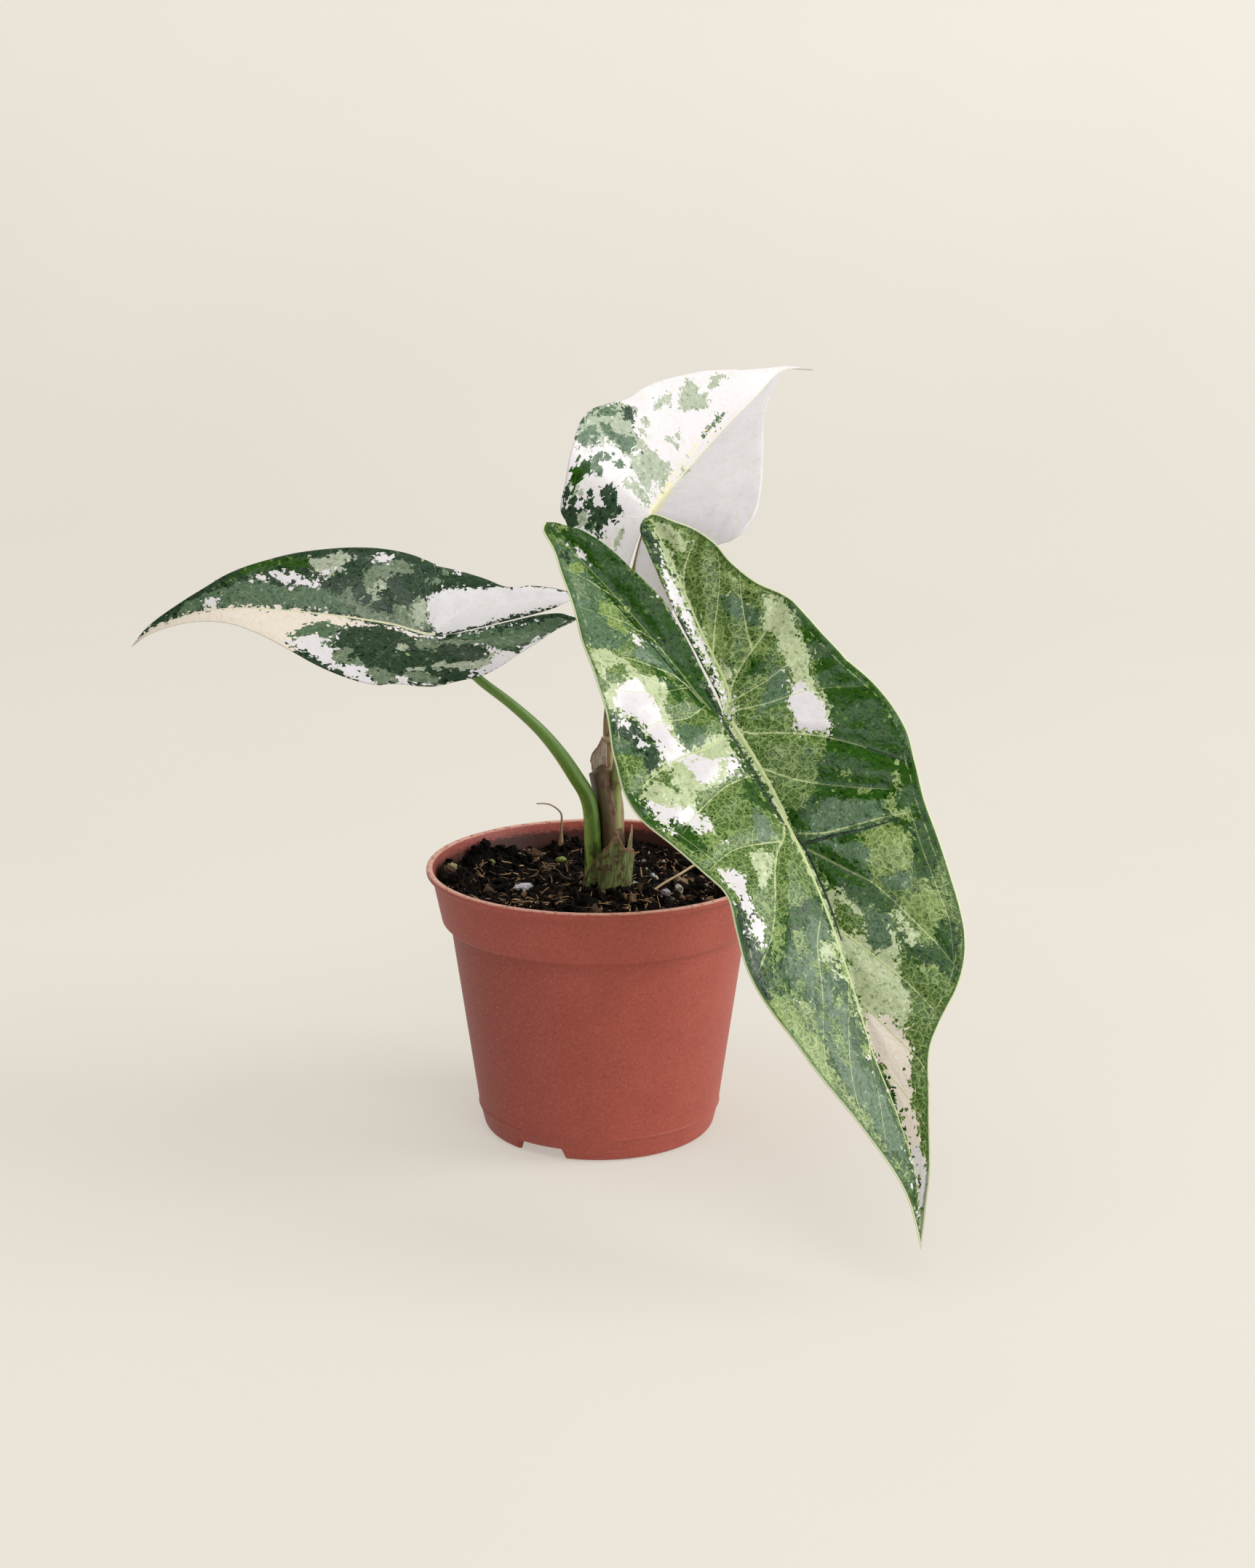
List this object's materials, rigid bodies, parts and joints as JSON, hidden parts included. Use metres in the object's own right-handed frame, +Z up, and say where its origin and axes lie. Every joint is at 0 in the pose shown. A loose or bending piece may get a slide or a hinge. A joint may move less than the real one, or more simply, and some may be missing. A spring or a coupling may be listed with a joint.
{
  "type": "potted variegated alocasia",
  "caption": "Young variegated alocasia with arrow-shaped green and white marbled leaves on arching stalks, growing in soil in a plain brick-red plastic nursery pot.",
  "frame": {"origin": "on the floor under the middle of the pot, on the flat hub of its base", "axes": "+Z up out of the pot, +Y away from the front of the pot, +X to the right seen from the front"},
  "size_m": [0.2708, 0.2735, 0.2576],
  "materials": {
    "pot": "matte",
    "soil": "rough",
    "leaf": "satin",
    "pale_leaf": "satin",
    "stalk": "satin",
    "sheath": "matte",
    "dry_skin": "matte",
    "grain": "rough",
    "fibre": "matte"
  },
  "bodies": {
    "root": {"pot": "pot", "soil": "soil", "stem": "stalk", "old_sheath": "sheath", "side_sheath": "sheath", "dry_sheath": "dry_skin", "petiole_left": "stalk", "petiole_back": "stalk", "petiole_front": "stalk", "blade_left": "leaf", "blade_back": "pale_leaf", "blade_front": "leaf", "tendril": "fibre", "straw": "fibre", "grain_1": "grain", "grain_2": "grain", "grain_3": "grain", "grain_4": "grain", "grain_5": "grain", "grain_6": "grain", "grain_7": "grain"}
  },
  "joints": []
}
